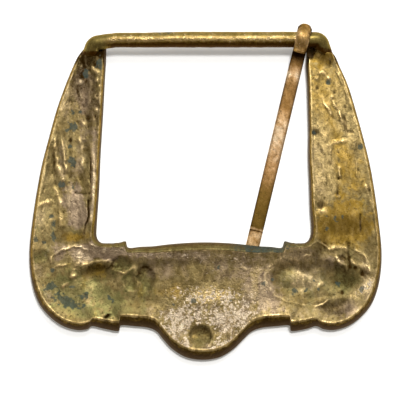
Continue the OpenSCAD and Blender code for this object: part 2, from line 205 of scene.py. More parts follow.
# Spots of verdigris. Columns: x, y, half length, half width, turn where there is one
SPOTS = [
    (28, -9.8, 0.46, 0.59), (28.3, -9.1, 0.32, 0.46), (35.3, -24.7, 0.59, 0.55), (24.6, -21.3, 0.41, 0.46),
    (-30.5, -20.1, 1.05, 1.05), (-27.4, -7.7, 0.68, 0.96, -10), (-24.1, -5.4, 0.82, 1.37),
    (-30.8, -24.5, 0.41, 0.41), (-30.4, -27.9, 0.91, 1.37), (-32.6, -33.3, 0.82, 0.59),
    (-30.1, -34.1, 0.46, 0.5), (-28.7, -16.5, 0.41, 0.59), (-30.3, -16.8, 0.5, 0.59),
    (-34.8, -56.4, 1.37, 1.05), (-31.6, -59.6, 2.28, 1.28, -15), (-29.3, -60.7, 1.48, 0.68),
    (-27.2, -58.6, 1.14, 0.82), (-34.3, -58.9, 0.77, 0.5), (-30.1, -56.4, 0.5, 0.36),
    (-34.3, -52.7, 0.68, 0.46), (-21.8, -58.7, 0.41, 0.5), (-20.9, -59.8, 0.34, 0.46),
    (-38.9, -42.5, 0.55, 0.91), (-38.6, -45.7, 0.55, 0.68), (-36.4, -46.3, 0.68, 0.46),
    (-34.4, -42, 0.57, 0.91), (-34.3, -45.2, 0.57, 0.91), (-34.8, -40.5, 0.57, 0.46),
    (-2.6, -59.7, 0.57, 0.57), (-7.2, -60.6, 0.34, 0.34), (13.1, -55.8, 0.5, 0.5), (15, -54.9, 0.46, 0.46),
    (20, -57.2, 0.68, 0.68), (24.4, -54.9, 0.36, 0.36), (29.9, -55.7, 0.68, 0.5), (35.1, -57.1, 0.64, 0.57),
    (3, -52, 0.36, 0.41), (5.9, -59.6, 0.34, 0.34), (30, -41.8, 0.5, 0.41), (29.3, -41.1, 0.46, 0.59),
    (27.5, -43.3, 0.46, 0.46), (27.2, -40.6, 0.34, 0.27), (30.9, -40.7, 0.27, 0.36),
    (13.8, -47.4, 3.87, 0.3, -4), (17.9, -46.5, 1.37, 0.27, 6), (11.5, -48.1, 0.5, 0.36),
    (22.7, -57.3, 0.46, 0.34), (25.4, -56.9, 0.34, 0.34), (15.2, -48.5, 0.46, 0.34),
    (9.9, -48.1, 0.34, 0.27),
]
# Patches of tone, and a few of painted shade under the bar's ends and along a hollow's upper edge. Columns:
# x, y, half length, half width, turn, pink, olive, worn, grime, sparkle
TONES = [
    (-27, -12, 3.42, 8.66, 12, 0.4, 0.1, 0.03, 0.5, 0.1),
    (-30.2, -11.5, 2.05, 4.56, -18, 0.5, 0, 0.05, 0.25, 0.1),
    # The patch at -26.3, -4.7 darkens the recess under the bar's left end: patina and painted shade
    (-26.3, -4.7, 2.73, 2.05, 0, 0, 0, 0, 0.45, 0), (-32.9, -16.5, 1.82, 5.01, -18, 0, 0, 0.3, 0, 0),
    (-30.2, -27.5, 3.65, 7.29, -8, 0.3, 0.2, 0.05, 0.1, 0),
    (-30.4, -37.7, 1.82, 5.01, 0, 0.7, 0, 0.1, 0, 0.15),
    (-28.4, -40, 1.82, 4.56, 0, 0.8, 0, 0.05, 0.05, 0.1),
    (-25.3, -34.3, 0.68, 10.94, 0, 0.8, 0, 0.3, 0, 0.05),
    (-36.8, -40, 2.51, 8.2, -3, 0.05, 0.5, 0.37, 0, 0),
    (-29.5, -45.2, 2.96, 1.6, 0, -0.8, 0.4, 0.05, 0.3, 0),
    (-37.1, -49.8, 2.01, 1.5, 0, 0, 0.3, -0.4, 0.4, -0.5),
    (-31.1, -57.3, 5.01, 3.87, -15, 0, 0.9, 0.15, 0, 0),
    (-22.7, -58.5, 3.42, 3.42, 0, 0, 0.6, 0.02, 0.03, 0),
    (-16.3, -60.5, 5.01, 3.42, 5, -0.05, 0.35, -0.25, 0.3, -0.25),
    (-27.2, -62.6, 6.84, 1.82, -8, 0, 0.5, -0.15, 0.12, 0),
    # Painted shade and olive along the upper edge of the big hollow on the left
    (-24.3, -52.8, 4.56, 1.82, -8, -0.35, 0.5, -0.25, 0.3, -0.6),
    (-19, -51.1, 2.05, 1.71, 0, -0.25, 0.5, -0.15, 0.17, -0.6),
    (-13.6, -55, 2.01, 3.53, 0, -0.2, 0.5, -0.15, 0.22, -0.6),
    (-17.1, -55.3, 1.37, 2.51, 0, -0.15, 0.45, -0.15, 0.17, -0.6),
    (-24.5, -48.4, 8.66, 2.05, 0, 1, 0, 0.15, 0, 0.1), (-27.7, -50.7, 2.73, 2.05, -40, 0.3, 0, 0.3, 0, 0.3),
    (-6.3, -51.6, 10.48, 3.65, 0, 0.25, 0.1, 0, 0.35, 0.15),
    (-1.7, -57.8, 9.12, 1.82, -4, -0.3, 0, 0.2, 0.1, 0.55),
    (-4.9, -64.4, 6.38, 4.56, 8, 0.45, 0, 0.2, 0.15, 1),
    (6, -63.9, 5.01, 4.56, -15, 0.35, 0, 0.2, 0.2, 0.8), (-0.1, -69.9, 6.15, 2.05, 0, 0.3, 0, 0.25, 0, 0.9),
    (0.8, -58.6, 2.96, 1.14, 5, -0.9, 0, 0.7, -0.1, 0.1),
    (-1, -67.8, 2.39, 2.62, 0, -0.6, 0.5, -0.6, 0.42, -1.6),
    (7.9, -55.9, 7.29, 6.84, 0, 0.15, 0, 0.1, 0.17, 0.25),
    (3.8, -49.8, 8.2, 1.37, 3, 0.2, 0, 0.15, 0.1, 0.25),
    (24.3, -55.5, 10.71, 5.01, -3, -0.2, 0.2, -0.1, 0.1, -0.2),
    (19.3, -55, 3.65, 2.28, 0, 0, 0.3, 0.1, -0.05, 0.1),
    (22.9, -54.6, 3.87, 2.73, 0, 0.3, 0.2, 0.33, -0.12, 0.15),
    (18.3, -51, 5.01, 1.37, 8, 0.1, 0.1, 0.3, -0.25, 0.1),
    (12.9, -57.5, 3.19, 5.01, 20, 0.5, 0, 0.2, 0, 0.2),
    (31.8, -54.1, 3.65, 2.96, 0, -0.1, 0.4, -0.35, 0.38, -0.5),
    (30.2, -61.6, 4.56, 2.28, -10, 0.1, 0.2, -0.15, 0.38, -0.3),
    # The patch at 26.6, -4 is painted shade under the bar's right end
    (30.7, -43, 6.38, 5.47, 0, -1, 0.35, 0.03, 0.36, 0), (26.6, -4, 2.73, 1.6, 20, -0.6, 0, 0, 0.4, 0),
    (28.8, -16.1, 5.01, 13.67, 18, -0.5, -0.35, 0.14, -0.06, 0),
    (31.8, -30.9, 5.01, 6.84, 10, -0.35, -0.05, -0.02, 0, 0),
    (36.8, -57.5, 1.6, 6.38, 8, 0.3, 0, 0.3, 0, 0.1), (35.7, -56.6, 3.65, 1.14, 38, 0, 0, 0.6, -0.3, 0.9),
    (25.1, -48.4, 1.25, 2.73, 0, 0, 0.1, -0.25, 0.22, -0.3),
    (29.5, -49.8, 3.42, 2.28, 25, 0.3, 0, 0.15, 0, 0.2), (21.5, -49.1, 4.1, 1.6, 0, 0.2, 0, 0.1, 0.1, 0.2),
    (33.4, -62.1, 2.73, 1.82, -30, 0.4, 0, 0.3, -0.1, 0.3),
    (23.8, -55.9, 13.67, 10.26, 0, 0.3, 0, 0, 0.12, 0.05),
    (26.3, -29.3, 2.73, 9.57, 3, 0.3, -0.4, 0.3, -0.3, 0.05),
    (32.9, -20.6, 2.28, 9.12, 18, 0.3, -0.35, 0.08, -0.05, 0.1),
    (-12.6, -48.7, 11.39, 1.14, -3, 0.5, 0, 0.15, 0, 0.45),
]
# Columns of an oval, and those of the depth and the edge after them
OVAL_COLUMNS = 5
DEPTH, EDGE = 5, 6
# The outer and the inner point of a section
OUTER, INNER = slice(OUT_X, IN_X), slice(IN_X, OUT_BEVEL)

# The noise repeats after this many lumps, and its grid starts away from the drawing's origin
NOISE_REPEAT = 128
NOISE_START_X, NOISE_START_Y = 31.7, 57.3
NOISE_GAIN = 1.5
# Seeds of the noise: a group for each thing that it shapes, to which a number is added
HAMMER, FOLDS, ROLLS, BACK, BAR, TONE, WALL, PRONG = range(10, 90, 10)


def smooth(t):
    """0 up to t = 0 and 1 from t = 1, with a smooth rise between."""
    c = np.clip(t, 0.0, 1.0)
    return c * c * (3 - 2 * c)


def between(a, b, t):
    return a + (b - a) * t


def on_curve(a, b, c, d, t):
    """The point at t, from 0 to 1, between b and c on a smooth curve through all four."""
    straight = 2 * b + (c - a) * t
    return 0.5 * (straight + (2 * a - 5 * b + 4 * c - d) * t**2 + (3 * b - a - 3 * c + d) * t**3)


def noise(x, y, size, seed):
    """Gradient noise of about -1 to 1, with lumps of the given size."""
    angle = np.random.default_rng(seed).random((NOISE_REPEAT, NOISE_REPEAT)) * 2 * np.pi
    u, v = x / size + NOISE_START_X, y / size + NOISE_START_Y
    i, j = np.floor(u).astype(int), np.floor(v).astype(int)
    fu, fv = u - i, v - j

    def corner(di, dj):
        a = angle[(i + di) % NOISE_REPEAT, (j + dj) % NOISE_REPEAT]
        return np.cos(a) * (fu - di) + np.sin(a) * (fv - dj)

    su, sv = smooth(fu), smooth(fv)
    low = between(corner(0, 0), corner(1, 0), su)
    high = between(corner(0, 1), corner(1, 1), su)
    return NOISE_GAIN * between(low, high, sv)


def turned(x, y, degrees):
    c, s = math.cos(math.radians(degrees)), math.sin(math.radians(degrees))
    return x * c + y * s, y * c - x * s


def from_middle(x, y, row):
    """Distance from the middle of an oval, 1 at its edge.

    The row starts with its x, y, half length, half width and, where it has one, turn.
    """
    mid_x, mid_y, half_length, half_width, turn = (*row, 0)[:OVAL_COLUMNS]
    along, across = turned(x - mid_x, y - mid_y, turn)
    return np.sqrt((along / half_length) ** 2 + (across / half_width) ** 2)


def all_features(table, x, y):
    """Hollows or bosses, each with its depth in the middle and falling smoothly to 0 at its edge."""
    return sum(row[DEPTH] * smooth((1 - from_middle(x, y, row)) / row[EDGE]) for row in table)


def lengths(vectors):
    return np.linalg.norm(vectors, axis=1)[:, None]


def way_along(points):
    """Length of the way from the first point to each of them."""
    return np.cumsum(lengths(np.diff(points, axis=0, prepend=points[:1])))[:, None]


def wandered(x, y, reach, size, seed):
    """Places that wander a little, in lumps of the given size."""
    return x + reach * noise(x, y, size, seed), y + reach * noise(x, y, size, seed + 1)


def all_rows():
    """Sections of the whole plate, from the left tip round to the right one, close together.

    They have no shift columns, because the shifts are taken into x.
    """
    last = len(SECTIONS) - 1
    # Past the middle the rows run on as their own mirror image
    flip = np.array([-1, 1, -1, 1, 1, 1, 1, 1])

    def row_at(i):
        if i > last:
            return SECTIONS[2 * last - i] * flip
        return SECTIONS[max(i, 0)]

    half = []
    for i in range(last):
        a, b, c, d = (row_at(i + k) for k in (-1, 0, 1, 2))
        reach = max(math.dist(b[end], c[end]) for end in (OUTER, INNER))
        steps = max(LEAST_STEPS, math.ceil(reach / ALONG))
        half += [on_curve(a, b, c, d, k / steps) for k in range(steps)]
    half = np.array(half)

    def side(rows, sign):
        out = rows[:, :OUT_SHIFT].copy()
        out[:, OUT_X] = sign * rows[:, OUT_X] - rows[:, OUT_SHIFT]
        out[:, IN_X] = sign * rows[:, IN_X] - rows[:, IN_SHIFT]
        return out

    middle = side(SECTIONS[last:], 1)
    middle[0, IN_X] = 0
    return np.vstack([side(half, -1), middle, side(half, 1)[::-1]])


def curve_through(points, steps):
    """Points along a smooth line through the given ones, for all sections at once."""
    n = len(points)
    out = []
    for i in range(n - 1):
        a, b, c, d = (points[min(max(i + k, 0), n - 1)] for k in (-1, 0, 1, 2))
        out += [on_curve(a, b, c, d, k / steps) for k in range(steps)]
    return out + [points[-1]]


def wall(bevel, crest, border):
    """A wall's profile from the front's border to the rim's crest, as (inset, height) pairs."""
    zero = np.zeros_like(bevel)
    shoulder = between(WAIST_Z, crest, 0.5)
    knots = [
        (zero + FRONT_INSET, border),
        (zero + 0.12, between(border, zero + WAIST_Z, 0.45)),
        (zero, zero + WAIST_Z),
        (0.3 * bevel, shoulder),
        (0.75 * bevel, crest - 0.25),
        (bevel + CREST_W, crest),
    ]
    return curve_through([np.stack(knot, 1) for knot in knots], WALL_STEPS)


def past_tip(y):
    """0 at the arms' tips and 1 all over the rest of the plate."""
    return smooth((-y - TIP_END) / (TIP_START - TIP_END))


def right_arm(x, y):
    """1 on the right arm, falling to 0 at its foot, and 0 elsewhere."""
    return (x > 0) * smooth((y - ARM_FOOT_Y) / 5)


def border_height(y):
    """The front's border is higher on the lower plate than on the arms."""
    return between(ARM_BORDER_Z, BORDER_Z, smooth((RIDGE_FROM + 10 - y) / 8))


def ellipse(x, y, row, firm, ragged):
    """1 inside an oval, falling to 0 past its edge, which the noise makes ragged."""
    return smooth(0.5 + firm * (1 - from_middle(x, y, row)) + ragged)


def beside_line(x, y, points, half_width):
    """1 on a line through the points, falling to 0 beside it and at its ends."""
    near = np.full(x.shape, np.inf)
    for x0, y0, x1, y1 in zip(points[::2], points[1::2], points[2::2], points[3::2]):
        dx, dy = x1 - x0, y1 - y0
        t = np.clip(((x - x0) * dx + (y - y0) * dy) / (dx * dx + dy * dy), 0, 1)
        near = np.minimum(near, (x - x0 - t * dx) ** 2 + (y - y0 - t * dy) ** 2)
    return np.exp(-near / half_width**2)


def blurred(field, reach):
    """The field smoothed over its neighbours in the grid, both ways."""
    for axis in (0, 1):
        total = sum(np.roll(field, k, axis) for k in range(-reach, reach + 1))
        field = total / (2 * reach + 1)
    return field


def rim_distance(x, y, crests):
    """Distance in the plane from each point to the nearest point of the rim's crests."""
    tree = kdtree.KDTree(len(crests))
    for i, (cx, cy) in enumerate(crests):
        tree.insert((cx, cy, 0), i)
    tree.balance()
    flat = [tree.find((px, py, 0))[2] for px, py in zip(x.ravel(), y.ravel())]
    return np.array(flat).reshape(x.shape)


def crease(x):
    """How far below the bar's axis the plate's back meets the bar's bent ends."""
    right = 2.65 - 0.45 * smooth((x - 24.8) / 0.5) + 0.4 * smooth((x - 26.2) / 1.2)
    left = 3.5 + 0.15 * (x + 25)
    return np.where(x > 0, right, left) + 0.35 * noise(x, 0.0, 1.3, BACK + 9)


# Where the legs of the bar leave its bends and how far under its axis, and how far they run outwards,
# towards the lobe and down for each millimetre of length. Across, their swelling is narrowed
LEG_X_RIGHT, LEG_X_LEFT, LEG_Y = 26.66, 25.83, -1.07
LEG_DROP = 0.62
LEG_OUT, LEG_ON, LEG_DOWN = 0.33, 0.819, 0.469
LEG_NARROWING = 0.93
# The swelling over a leg, and its top over the bar's axis where the leg starts
SWELL_R = 2.15
SWELL_TOP = 1.53
# A height that is always hidden under the back
HIDDEN_Z = 2.0
# Width of the soft join of the swelling with the back
JOIN = 0.5


def over_leg(x, y, z, from_rim):
    """The back raised over the legs of the bar, which sink into it.

    It swells over each leg and slopes down on the leg's inner side.
    """
    gone = (LEG_Y - y) / LEG_ON
    across = LEG_NARROWING * (np.abs(x) - np.where(x > 0, LEG_X_RIGHT, LEG_X_LEFT) - LEG_OUT * gone)
    cover = BAR_Z - LEG_DROP - LEG_DOWN * gone + np.sqrt(np.maximum(0.01, SWELL_R**2 - across**2))
    cover = between(HIDDEN_Z, cover, smooth((SWELL_R - np.abs(across)) / 0.8))
    slope = between(BAR_Z + SWELL_TOP - LEG_DOWN * gone, TRAY_Z, smooth(-across / 5.0))
    beside = smooth(0.3 - across) * smooth(from_rim / 0.8) * smooth((y + 9) / 3)
    cover = np.maximum(cover, between(HIDDEN_Z, slope, beside))
    cover = between(HIDDEN_Z, cover, smooth((-y - crease(x) + 0.2) / 0.5))
    return np.maximum(z, cover) + JOIN / 4 * np.maximum(0, 1 - np.abs(z - cover) / JOIN) ** 2


def relief(x, y):
    """Height of the cast surface over the plain one."""
    arm = smooth((y + 47) / 7)
    left, right = arm * (x < 0), arm * (x > 0)
    u, v = turned(x, y, -25)
    lean = x + 0.12 * y + 0.5 * noise(x, y, 4, FOLDS + 3)

    def creased(a, b, size, seed):
        return 0.35 - np.abs(noise(a, b, size, seed))

    hammered = 0.12 * noise(x, y * 0.4, 2.8, HAMMER + 1)
    hammered += 0.1 * creased(lean + 0.1 * y, y * 0.3, 1.9, HAMMER + 2)
    folds = 0.16 * creased(lean, y * 0.25, 2.4, FOLDS + 1)
    folds += 0.05 * creased(lean, y * 0.5, 1, FOLDS + 2) * between(1, 0.3, smooth((-y - 16) / 12))
    rolling = 0.1 * noise(x, y, 5, ROLLS + 1) + 0.03 * creased(u, v, 1.3, ROLLS + 2)
    height = right * hammered + left * folds + (1 - arm) * rolling + 0.014 * noise(x, y, 0.45, BACK + 1)
    height -= (0.1 * left + 0.03 * right) * smooth((noise(u, v, 0.8, BACK + 8) - 0.45) / 0.3)
    # Marks and lines wander a little from their places in the tables, and lines are uneven along them
    wx, wy = wandered(x, y, 0.3, 1.2, BACK + 3)
    for mark_x, mark_y, radius, rise, *_ in MARKS:
        away = (wx - mark_x) ** 2 + (wy - mark_y) ** 2
        height += (rise if rise < 0 else 0.6 * rise) * np.exp(-away / radius**2)
    uneven = np.clip(0.8 + 0.6 * noise(x, y, 1.8, BACK + 7), 0.1, 1.3)
    for half_width, rise, _, *points in LINES:
        reach = half_width if rise < 0 else 1.5 * half_width
        height += 0.8 * rise * uneven * beside_line(wx, wy, points, reach)
    return height


def masks(shape, *values):
    """Wear with painted highlights, dirt with painted shade, verdigris, blush, olive and sparkle, each
    given as a number or an array.

    The blush is golden at 0, plain at a half and pink at 1.
    """
    return np.clip(np.stack([np.broadcast_to(value, shape) for value in values], -1), 0, 1)


def back_masks(x, y, height, from_rim):
    right = right_arm(x, y)
    raised = np.clip((height - blurred(height, 5)) / between(0.09, 0.12, right), -1.5, 1.5)
    ragged = 0.5 * noise(x, y, 1.8, TONE + 1) + 0.4 * noise(x, y, 0.8, TONE + 2)
    ragged += 0.35 * noise(x, y, 0.45, TONE + 3)
    rim = smooth(1 - from_rim / (0.5 - 0.1 * right)) * (1 + 2 * ragged)
    wear_and_highlight = 0.15 + 0.3 * np.maximum(raised, 0) + 0.55 * rim
    patches = smooth(1.5 * noise(x, y * 0.6, 1.6, TONE + 4))
    patches = patches * smooth((y + 50) / 7) * between(1, 0.3, x > 0)
    grime_and_shade = 0.05 + 0.35 * np.maximum(-raised, 0) + 0.3 * patches
    pink = 0.5 * (x < 12) * noise(x, y * 0.5, 3, TONE + 5)
    olive = 0.3 * noise(x, y * 0.5, 2.4, TONE + 6)
    sparkle, green = np.zeros_like(x), np.zeros_like(x)
    for row in TONES:
        here = ellipse(x, y, row, 0.8, 0.5 * ragged)
        *_, more_pink, more_olive, more_worn, more_grime, more_sparkle = row
        pink += more_pink * here
        olive += more_olive * here
        wear_and_highlight += more_worn * here
        grime_and_shade += more_grime * here
        sparkle += more_sparkle * here
    for half_width, _, shine, *points in LINES:
        here = beside_line(x, y, points, half_width * 1.1) * np.clip(0.8 + 0.6 * ragged, 0, 1)
        wear_and_highlight += 0.4 * max(shine, 0) * here
        grime_and_shade += max(-shine, 0) * here
    for mark_x, mark_y, radius, _, dark, *verdigris in MARKS:
        here = np.exp(-((x - mark_x) ** 2 + (y - mark_y) ** 2) / (1.2 * radius) ** 2)
        grime_and_shade += max(dark, 0) * here
        wear_and_highlight += 0.25 * max(-dark, 0) * here
        green += sum(verdigris) * here
    spotty = 1.2 * ragged + 0.9 * noise(x, y, 0.7, TONE + 7)
    for row in SPOTS:
        green += ellipse(x, y, row, 1.3, spotty)
    # Painted shade in the crease between the arms' tips and the bar, and in the room beside the right tip
    # for the loop
    crease_shade = smooth(0.9 + 0.5 * (x > 0) + (y + crease(x)) / 0.9 + 0.3 * ragged)
    crease_shade = crease_shade * (1 - smooth((x - 26.9) / 0.8))
    crease_shade += (x > 0) * smooth((24.9 - x) / 0.6) * smooth((y + 4.8) / 1.2)
    crease_shade = np.clip(crease_shade, 0, 1) * np.clip(0.8 + 0.5 * ragged, 0, 1)
    grime_and_shade, wear_and_highlight, olive = grime_and_shade + crease_shade, wear_and_highlight * (1 - crease_shade), olive + crease_shade
    return masks(x.shape, wear_and_highlight, grime_and_shade, green, 0.5 + 0.5 * pink, olive, sparkle)


def back_surface(out, step, crest, insets):
    """The back, from crest to crest, and its masks. The insets say where the two crests are."""
    t = np.linspace(0, 1, BACK_POINTS + 1)[None, 1:-1]
    # The points lie closer together beside the rims
    inset = between(*insets, between(t, smooth(t), 0.35))
    x, y = (out[:, k, None] + step[:, k, None] * inset for k in (0, 1))
    from_rim = rim_distance(x, y, np.concatenate([out + step * at for at in insets]))
    # The right arm is flatter than the rest, and its rim has a sharper foot
    flat = right_arm(x, y)
    tray = TRAY_Z + RIGHT_ARM_RISE * flat - all_features(HOLLOWS, *wandered(x, y, 0.5, 3.5, BACK + 5))
    tray = between(TIP_Z, tray, past_tip(y))
    sharp = between(0.08, 0.7, flat)
    foot = sharp * smooth(from_rim / (0.5 + 0.2 * flat)) + (1 - sharp) * smooth((from_rim + 0.3) / 4.0)
    height = relief(x, y)
    top = crest[:, None]
    z = between(top, np.minimum(top, tray), foot)
    z = z + smooth(from_rim / 0.8) * height * between(0.4, 1, past_tip(y))
    z = over_leg(x, y, z, from_rim)
    return np.stack([x, y, z], -1), back_masks(x, y, height, from_rim)


def wall_surface(edge, inward, bevel, crest):
    """A wall, from the front's border to the crest, and its masks."""
    p = np.stack(wall(bevel, crest, border_height(edge[:, 1])), axis=1)
    z = p[..., 1]
    edge_x, edge_y = edge[:, :1], edge[:, 1:]
    xy = edge[:, None] + inward[:, None] * p[..., :1]
    rough = 0.05 * noise(edge_x + edge_y, 2 * z, 1.1, WALL + 1)
    xy = xy + inward[:, None] * (rough * smooth(z - 2))[..., None]
    # Height as a share of the wall's own, from its waist to the crest
    share = (z - WAIST_Z) / (crest[:, None] - WAIST_Z)
    around = way_along(edge)
    blotch = 0.6 * noise(around, 2.2 * share, 1.5, WALL + 2)
    blotch += 0.6 * noise(around, 4 * share, 0.7, WALL + 3)
    # The walls that face the lobe get painted shade, and those that face the bar are lit
    shaded, sunny = smooth(inward[:, 1:]), smooth(-inward[:, 1:])
    # Painted shade on the walls at the arms' tips, under the bar
    tip = smooth((edge_y + 6) / 2)
    wear_and_highlight = (0.5 * smooth((share - 0.9) / 0.1) * (1 - 0.8 * sunny) + 0.15 * blotch) * (1 - tip)
    # Darker towards the wall's foot
    low = (0.55 - 0.25 * shaded) * smooth((0.95 - share) / 0.4)
    grime_and_shade = 0.45 + low + 0.3 * shaded - 0.2 * blotch
    grime_and_shade = between(grime_and_shade, 0.5, 0.5 * sunny) + 0.5 * tip
    # Verdigris on the plate's edge beside the prong's tip
    damp = sunny * np.exp(-(((edge_x - 13) / 7) ** 2)) * smooth((edge_y + 49) / 2)
    green = (1.1 + 0.8 * blotch) * damp
    blush = 0.5 - 0.4 * smooth((share - 0.2) / 0.4) * (1 - sunny)
    points = np.concatenate([xy, p[..., 1:]], -1)
    return points, masks(share.shape, wear_and_highlight, grime_and_shade, green, blush, 0.4 * smooth(share), 0)


def front_surface(out, step, width):
    """The front, which is plain, from the inner border to the outer one, and its masks."""
    t = np.linspace(1, 0, FRONT_POINTS + 2)[None, 1:-1]
    inset = between(FRONT_INSET, width - FRONT_INSET, t)
    x, y = (out[:, k, None] + step[:, k, None] * inset for k in (0, 1))
    side = np.minimum(t, 1 - t)
    border = border_height(y)
    panel = smooth((side - 0.2) / 0.14)
    ridge = RIDGE_RISE * smooth((side - 0.3) / 0.1) * smooth((y - RIDGE_FROM) / 6)
    rise = (border - PANEL_Z) * panel + ridge + smooth((side - 0.06) / 0.1) * all_features(BOSSES, x, y)
    front = np.stack([x, y, np.maximum(0, border - rise * past_tip(y))], -1)
    return front, masks(x.shape, 0.3, 0.15, 0, 0.5, 0.2, 0)


def casting_mesh():
    """Loops of points round the plate's sections, and their masks."""
    rows = all_rows()
    out, inner = rows[:, OUTER], rows[:, INNER]
    out_bevel, in_bevel = rows[:, OUT_BEVEL], rows[:, IN_BEVEL]
    width = lengths(inner - out)
    step = (inner - out) / width
    crest = between(TIP_Z, RIM_Z, past_tip(out[:, 1]))
    insets = out_bevel[:, None] + CREST_W, width - in_bevel[:, None] - CREST_W
    surfaces = [
        wall_surface(out, step, out_bevel, crest),
        back_surface(out, step, crest, insets),
        [side[:, ::-1] for side in wall_surface(inner, -step, in_bevel, crest)],
        front_surface(out, step, width),
    ]
    points, finish_and_painted_light = (np.concatenate(parts, axis=1) for parts in zip(*surfaces))
    x, y, z = np.moveaxis(points, -1, 0)
    room = BAR_Z - np.sqrt(np.maximum(0, LOOP_ROOM_R**2 - y**2))
    beside = (x > 0) & (x < LOOP_ROOM_X) & (np.abs(y) < LOOP_ROOM_R)
    points[..., 2] = np.where(beside, np.minimum(z, room), z)
    return points, finish_and_painted_light


def placed(name, data):
    """A new object in the scene."""
    thing = bpy.data.objects.new(name, data)
    bpy.context.scene.collection.objects.link(thing)
    return thing


def grid_faces(rows, around):
    i, k = np.meshgrid(np.arange(rows - 1), np.arange(around), indexing="ij")
    k2 = (k + 1) % around
    a, b = i * around, (i + 1) * around
    return np.stack([a + k, a + k2, b + k2, b + k], axis=-1).reshape(-1, 4).tolist()


def swept(name, points, finish_and_painted_light, material):
    """A mesh from loops of points, shape (loops, points round, 3), in millimetres in the drawing."""
    rows, around = points.shape[:2]
    vertices = (points.reshape(-1, 3) + [0, BAR_Y, 0]) * MM
    faces = grid_faces(rows, around)
    faces.append(list(range(around))[::-1])
    faces.append([(rows - 1) * around + k for k in range(around)])
    mesh = bpy.data.meshes.new(name)
    mesh.from_pydata(vertices.tolist(), [], faces, shade_flat=False)
    mesh.update()
    for label, channels in zip(("finish_and_painted_light", "tone"), np.split(finish_and_painted_light, 2, axis=-1)):
        colours = np.ones((rows * around, 4), np.float32)
        colours[:, :3] = channels.reshape(-1, 3)
        mesh.attributes.new(label, "FLOAT_COLOR", "POINT").data.foreach_set("color", colours.ravel())
    mesh.materials.append(material)
    return placed(name, mesh)


# Points round the bar and the prong, and their angles
AROUND = 48
ANGLES = np.arange(AROUND) / AROUND * 2 * np.pi
# A bent end of the bar lies in one slanting plane
BEND_TURN = math.acos(math.cos(LEG_PITCH) * math.cos(LEG_HEADING))
BEND_TILT = math.atan2(math.sin(LEG_PITCH), math.cos(LEG_PITCH) * math.sin(LEG_HEADING))
# The slight bend before the left one, and the turn that ends each leg, too small to see
SLIGHT_TURN = math.radians(9)
LAST_TURN = 0.01
# The bar from its middle into each arm. Columns: length, turn at its end, radius of that turn
RIGHT_RUNS = [(25.05, BEND_TURN, 1.65), (4.4, LAST_TURN, 1.65)]
LEFT_RUNS = [(20.0, SLIGHT_TURN, 6.0), (3.75, BEND_TURN - SLIGHT_TURN, 1.7), (3.7, LAST_TURN, 1.7)]
# Length of a step along a straight run, the least number of them, and the steps in a turn
BAR_STEP = 0.4
LEAST_BAR_STEPS = 8
TURN_STEPS = 12


def tube(path, radius):
    """Loops round a path that lies close to one plane."""
    tangent = np.gradient(path, axis=0)
    tangent /= lengths(tangent)
    normal = np.zeros_like(path)
    n = np.array([0.0, 0.0, 1.0])
    for i, t in enumerate(tangent):
        n = n - t * np.dot(n, t)
        n /= np.linalg.norm(n)
        normal[i] = n
    third = np.cross(tangent, normal)
    ring = np.cos(ANGLES)[:, None] * normal[:, None] + np.sin(ANGLES)[:, None] * third[:, None]
    return path[:, None] + ring * radius[..., None]


def half_bar(runs):
    """The middle line of half the bar, laid out flat and then tilted about the bar's axis."""
    at, heading = np.zeros(2), 0.0
    flat = []
    for length, turn, radius in runs:
        way = np.array([math.cos(heading), -math.sin(heading)])
        steps = max(LEAST_BAR_STEPS, round(length / BAR_STEP))
        flat += [at + way * s for s in np.linspace(0, length, steps, endpoint=False)]
        centre = at + way * length + radius * np.array([-math.sin(heading), -math.cos(heading)])
        for a in np.linspace(heading, heading + turn, TURN_STEPS, endpoint=False):
            flat.append(centre + radius * np.array([math.sin(a), math.cos(a)]))
        heading += turn
        at = centre + radius * np.array([math.sin(heading), math.cos(heading)])
    x, y = np.array(flat).T
    return np.column_stack([x, y * math.cos(BEND_TILT), BAR_Z + y * math.sin(BEND_TILT)])


